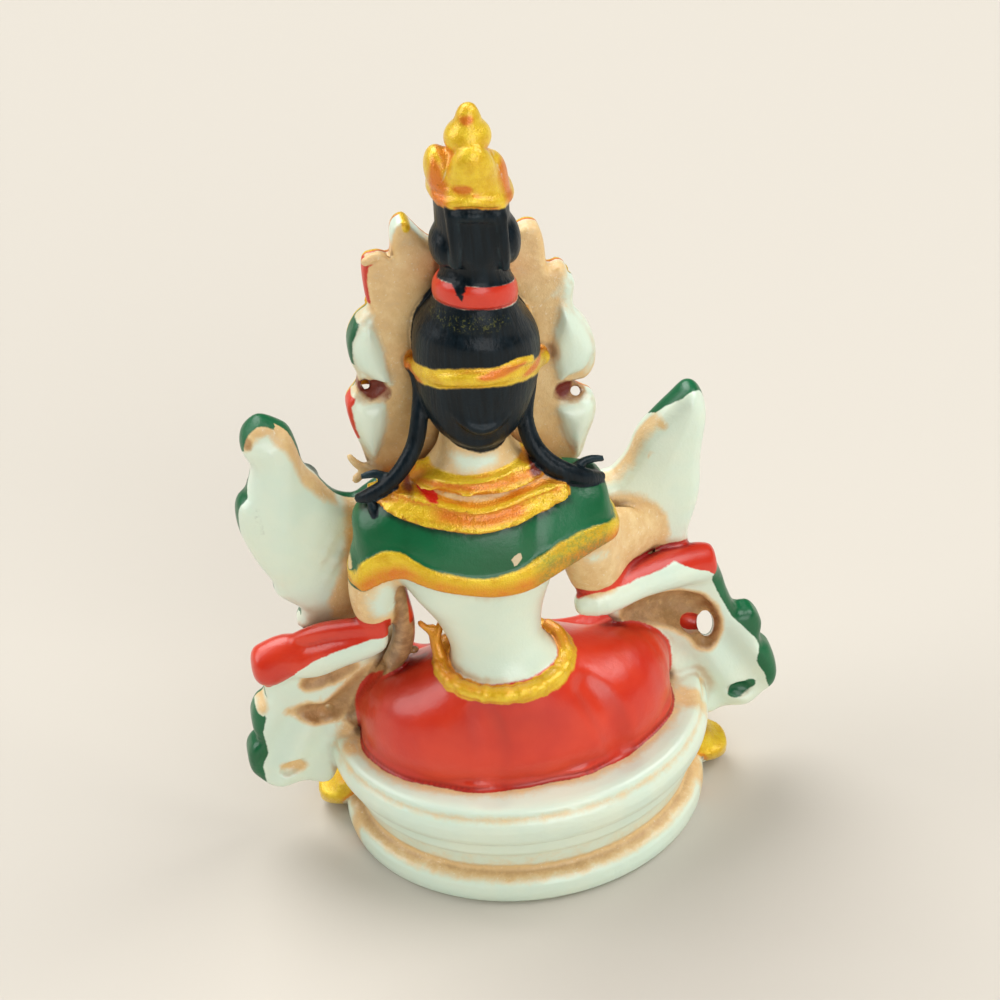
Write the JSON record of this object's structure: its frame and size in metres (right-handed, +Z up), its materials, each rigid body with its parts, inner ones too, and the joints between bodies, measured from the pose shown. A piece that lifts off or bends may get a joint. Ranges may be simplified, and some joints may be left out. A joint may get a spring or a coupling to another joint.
{
  "type": "seated tara figure",
  "caption": "Painted cast-resin souvenir figure of Tara, seated cross-legged on a lotus base, with lotus flowers at her shoulders, pierced crown ribbons and a tall topknot.",
  "frame": {"origin": "middle of the flat underside of the lotus base", "axes": "+Z up, -Y the way the figure faces, +X to her left"},
  "size_m": [0.0663, 0.046, 0.1],
  "materials": {
    "painted_resin": "Cream-white filled resin with a thin clear gloss coat and a tan antique wash in the recesses, hand-painted in red, green, blue-black and glitter gold. The colour here is the bare resin's."
  },
  "bodies": {
    "root": {"tara_figure": "painted_resin"}
  },
  "joints": []
}
